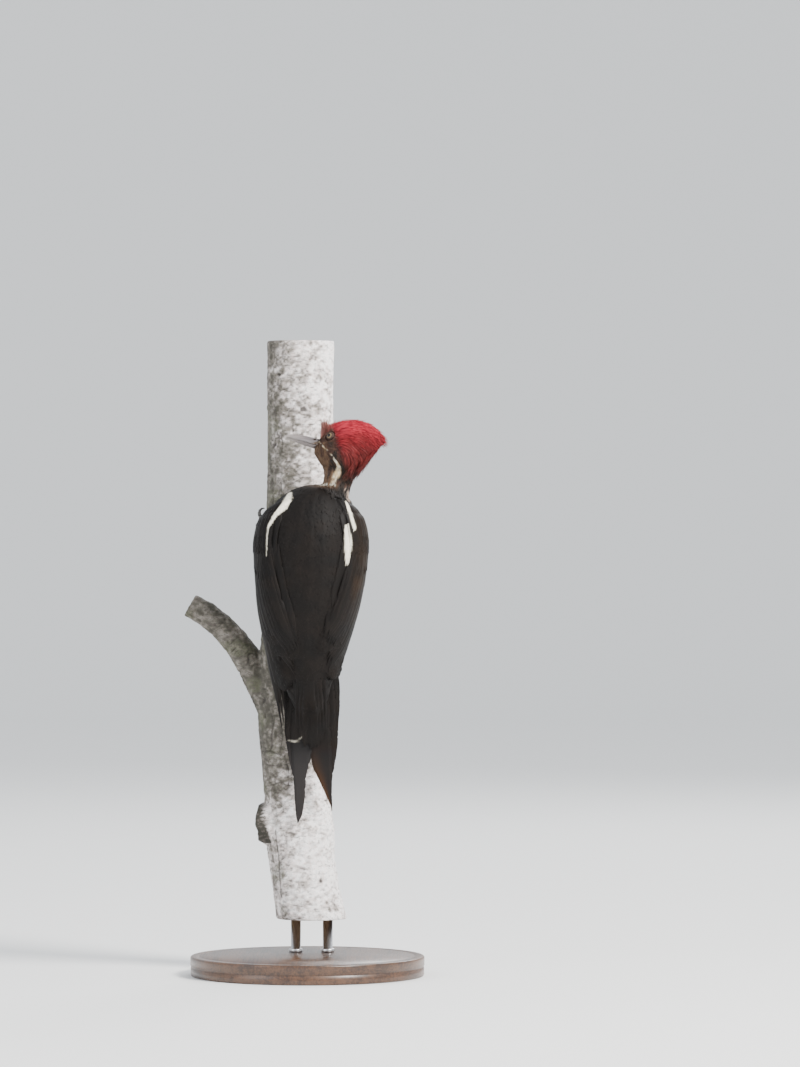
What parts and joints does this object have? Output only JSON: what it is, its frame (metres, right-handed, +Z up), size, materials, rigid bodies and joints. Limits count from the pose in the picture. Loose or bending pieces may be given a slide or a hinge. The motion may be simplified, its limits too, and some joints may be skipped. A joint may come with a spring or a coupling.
{
  "type": "lineated woodpecker on a trunk perch, display model",
  "caption": "Still life-size woodpecker with a red crest, clinging to a cut length of trunk on a round display base.",
  "frame": {"origin": "centre of the underside of the stand's round base", "axes": "+Z up along the trunk; the bird clings to the -Y side of the trunk with its back to -Y, and its head is turned to its left, towards -X"},
  "size_m": [0.1965, 0.19, 0.515],
  "materials": {
    "black_plumage": "soft brownish black contour feathers with a slight sheen and cream shoulder stripes",
    "black_flight_feathers": "stiff brownish black vanes with darker shafts",
    "face_plumage": "short dark brown, cream and buff feathers",
    "red_crest": "long narrow crimson feathers",
    "bill_horn": "pale horn grey, fine lengthwise grain",
    "eye_gloss": "wet gloss, pale yellow iris and black pupil",
    "leg_skin": "grey scaly skin",
    "claw_horn": "dark polished horn",
    "bark": "pale lichened bark with dark cracks, sawn ends",
    "stand_wood": "dark stained and oiled",
    "stand_steel": "satin"
  },
  "bodies": {
    "root": {"bill_lower": "bill_horn", "bill_upper": "bill_horn", "claw_hind_left": "claw_horn", "claw_hind_right": "claw_horn", "claw_inner_left": "claw_horn", "claw_inner_right": "claw_horn", "claw_middle_left": "claw_horn", "claw_middle_right": "claw_horn", "claw_outer_left": "claw_horn", "claw_outer_right": "claw_horn", "crest": "red_crest", "eye_left": "eye_gloss", "eye_right": "eye_gloss", "foot_left": "leg_skin", "foot_right": "leg_skin", "head": "face_plumage", "neck": "face_plumage", "perch_trunk": "bark", "shank_left": "leg_skin", "shank_right": "leg_skin", "stand_base": "stand_wood", "stand_rod_left": "stand_steel", "stand_rod_right": "stand_steel", "tail_coverts_lower": "black_plumage", "tail_coverts_upper": "black_plumage", "tail_feather_left_1": "black_flight_feathers", "tail_feather_left_2": "black_flight_feathers", "tail_feather_left_3": "black_flight_feathers", "tail_feather_left_4": "black_flight_feathers", "tail_feather_left_5": "black_flight_feathers", "tail_feather_right_1": "black_flight_feathers", "tail_feather_right_2": "black_flight_feathers", "tail_feather_right_3": "black_flight_feathers", "tail_feather_right_4": "black_flight_feathers", "tail_feather_right_5": "black_flight_feathers", "thigh_left": "black_plumage", "thigh_right": "black_plumage", "torso": "black_plumage", "wing_coverts_left": "black_flight_feathers", "wing_coverts_right": "black_flight_feathers", "wing_primaries_left": "black_flight_feathers", "wing_primaries_right": "black_flight_feathers", "wing_secondaries_left": "black_flight_feathers", "wing_secondaries_right": "black_flight_feathers"}
  },
  "joints": []
}
